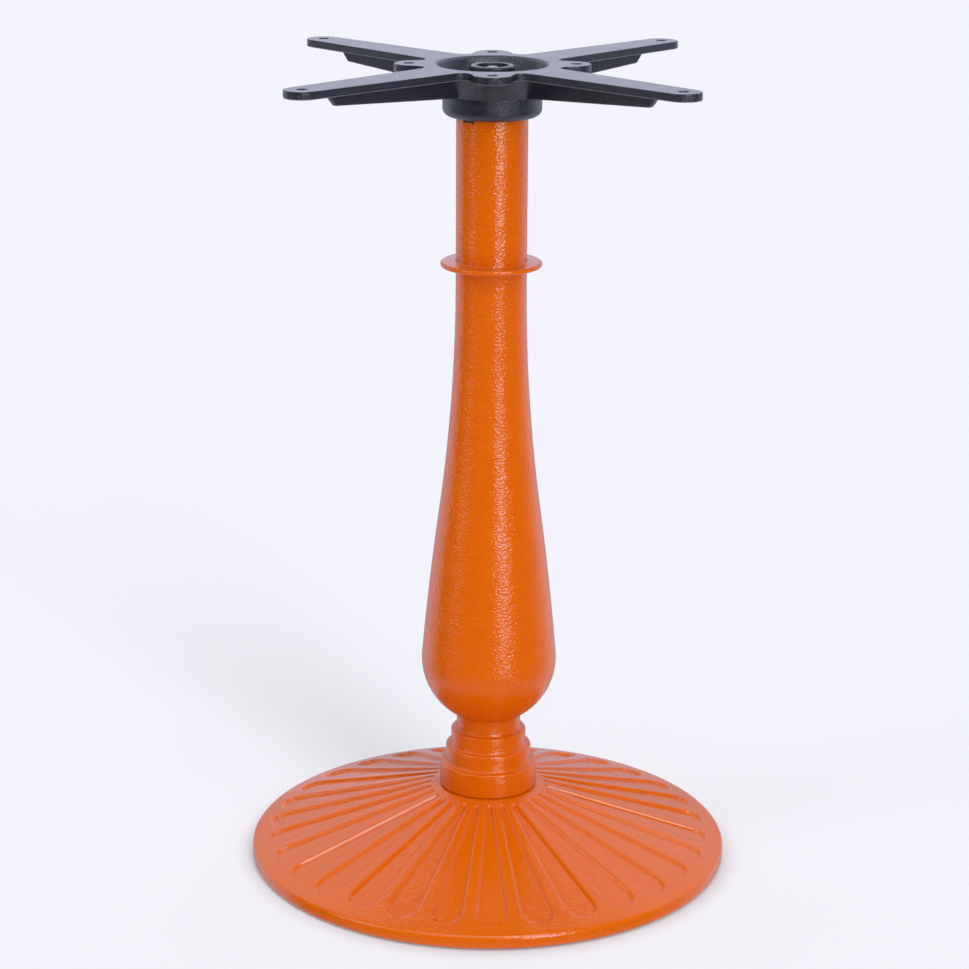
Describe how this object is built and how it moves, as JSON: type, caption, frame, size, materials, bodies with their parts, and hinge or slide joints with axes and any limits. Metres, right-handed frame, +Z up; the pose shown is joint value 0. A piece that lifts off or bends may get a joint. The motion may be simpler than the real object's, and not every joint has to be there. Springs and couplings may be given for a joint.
{
  "type": "pedestal table base",
  "caption": "Cast iron pedestal table base with a fluted round foot, a turned baluster column and a cross-shaped top spider drilled for screwing to a table top.",
  "frame": {"origin": "on the floor under the column's axis, level with the undersides of the glides", "axes": "+Z up along the column, -Y towards the viewer of the picture, the spider's arms on the diagonals of X and Y"},
  "size_m": [0.43, 0.43, 0.72],
  "materials": {
    "orange_paint": "gloss powder coat",
    "black_paint": "satin black coat, finely textured",
    "zinc_steel": "zinc plated",
    "nylon": "moulded nylon"
  },
  "bodies": {
    "stand": {"base_plate": "orange_paint", "column": "orange_paint", "top_spider": "black_paint", "tie_rod": "zinc_steel", "top_washer": "zinc_steel", "top_nut": "zinc_steel", "base_washer": "zinc_steel", "base_nut": "zinc_steel"},
    "foot_1": {"foot_1_pad": "nylon", "foot_1_stud": "zinc_steel"},
    "foot_2": {"foot_2_pad": "nylon", "foot_2_stud": "zinc_steel"},
    "foot_3": {"foot_3_pad": "nylon", "foot_3_stud": "zinc_steel"},
    "foot_4": {"foot_4_pad": "nylon", "foot_4_stud": "zinc_steel"}
  },
  "joints": [
    {"name": "foot_1_level", "type": "slide", "parent": "stand", "child": "foot_1", "axis": [0, 0, -1], "range_m": [0, 0.006]},
    {"name": "foot_2_level", "type": "slide", "parent": "stand", "child": "foot_2", "axis": [0, 0, -1], "range_m": [0, 0.006]},
    {"name": "foot_3_level", "type": "slide", "parent": "stand", "child": "foot_3", "axis": [0, 0, -1], "range_m": [0, 0.006]},
    {"name": "foot_4_level", "type": "slide", "parent": "stand", "child": "foot_4", "axis": [0, 0, -1], "range_m": [0, 0.006]}
  ]
}
